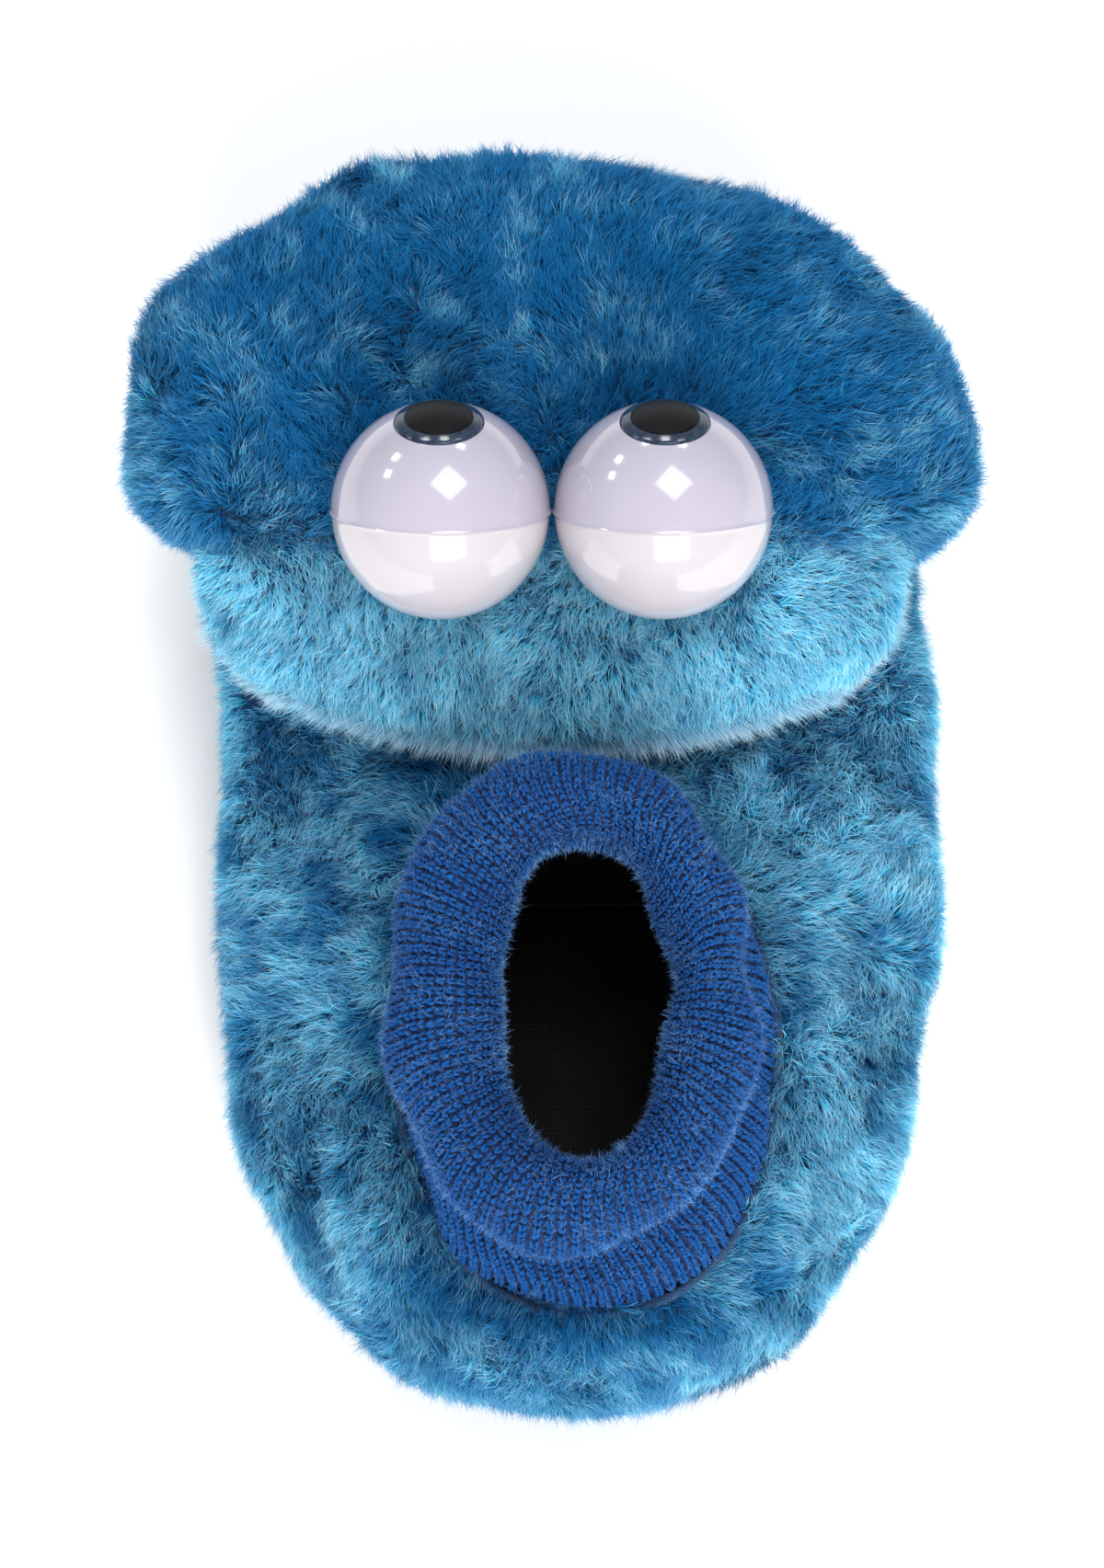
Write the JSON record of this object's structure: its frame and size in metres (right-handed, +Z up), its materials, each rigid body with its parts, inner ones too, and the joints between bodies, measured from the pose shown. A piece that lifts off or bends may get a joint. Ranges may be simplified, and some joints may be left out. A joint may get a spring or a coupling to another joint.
{
  "type": "moving mouth puppet slipper",
  "caption": "Plush slipper with a shaggy ball-eyed monster head at the toe, whose mouth opens as the heel presses a pump, and a ribbed knit ankle cuff.",
  "frame": {"origin": "middle of the footprint box, on the floor under the sole dots", "axes": "+Y points to the toe and face, +X to the wearer's right, +Z up"},
  "size_m": [0.177, 0.2595, 0.121],
  "materials": {
    "blue_plush": "long soft pile",
    "blue_knit": "ribbed knit",
    "blue_binding": "matt",
    "black_lining": "matt",
    "teal_tape": "matt",
    "footbed_cloth": "matt",
    "wadding": "matt",
    "red_felt": "matt",
    "pink_felt": "matt",
    "eye_front_plastic": "gloss",
    "eye_back_plastic": "gloss",
    "iris_plastic": "gloss",
    "pupil_plastic": "gloss",
    "dark_plastic": "satin",
    "steel": "satin",
    "bellows_rubber": "matt",
    "hose_rubber": "matt",
    "sole_rubber": "matt",
    "foam": "matt",
    "fibreboard": "matt"
  },
  "bodies": {
    "slipper": {"outsole": "sole_rubber", "sole_grip_dots": "sole_rubber", "midsole_foam": "foam", "insole_board": "fibreboard", "footbed_front": "footbed_cloth", "jaw_frame_screws": "steel", "pump_base": "dark_plastic", "treadle_hinge_pin": "steel", "pump_bellows": "bellows_rubber", "pump_spring": "steel", "air_hose": "hose_rubber", "pump_outlet_barb": "dark_plastic", "hose_elbow": "dark_plastic", "jaw_hinge_pin": "steel", "jaw_pin_caps": "steel", "return_spring_left": "steel", "return_spring_right": "steel", "mouth_bellows": "bellows_rubber", "lower_jaw_frame": "dark_plastic", "quarter_fur_left": "blue_plush", "quarter_fur_right": "blue_plush", "vamp_fur": "blue_plush", "lower_jaw_fur": "blue_plush", "quarter_padding": "wadding", "vamp_padding": "wadding", "lower_jaw_padding": "wadding", "upper_lining": "black_lining", "topline_binding": "blue_binding", "ankle_cuff": "blue_knit", "lining_seam_tape": "teal_tape", "mouth_lining_lower": "red_felt", "mouth_gusset": "red_felt", "tongue": "pink_felt"},
    "head": {"head_fur_front": "blue_plush", "head_fur_back": "blue_plush", "head_stuffing": "wadding", "mouth_lining_upper": "red_felt", "upper_jaw_frame": "dark_plastic", "eye_bridge": "dark_plastic", "bridge_screws": "steel", "eye_shell_front_left": "eye_front_plastic", "eye_shell_back_left": "eye_back_plastic", "iris_left": "iris_plastic", "pupil_left": "pupil_plastic", "eye_post_left": "eye_back_plastic", "eye_shell_front_right": "eye_front_plastic", "eye_shell_back_right": "eye_back_plastic", "iris_right": "iris_plastic", "pupil_right": "pupil_plastic", "eye_post_right": "eye_back_plastic", "eye_lock_washers": "steel"},
    "treadle": {"heel_treadle": "dark_plastic", "footbed_heel": "footbed_cloth"}
  },
  "joints": [
    {"name": "mouth_open", "type": "hinge", "parent": "slipper", "child": "head", "pos_m": [0, 0.022, 0.058], "axis": [1, 0, 0], "range_deg": [0, 18], "stiffness_Nm_per_rad": 0.15, "springref_deg": -17.19, "deforming": ["mouth_bellows", "mouth_gusset"]},
    {"name": "heel_press", "type": "hinge", "parent": "slipper", "child": "treadle", "pos_m": [0.004, -0.02, 0.0125], "axis": [1, 0, 0], "range_deg": [0, 4], "stiffness_Nm_per_rad": 3, "springref_deg": -5.73, "deforming": ["pump_bellows", "pump_spring"]}
  ],
  "couplings": [
    {"joint": "heel_press", "follows": "mouth_open", "ratio": 0.2222}
  ]
}
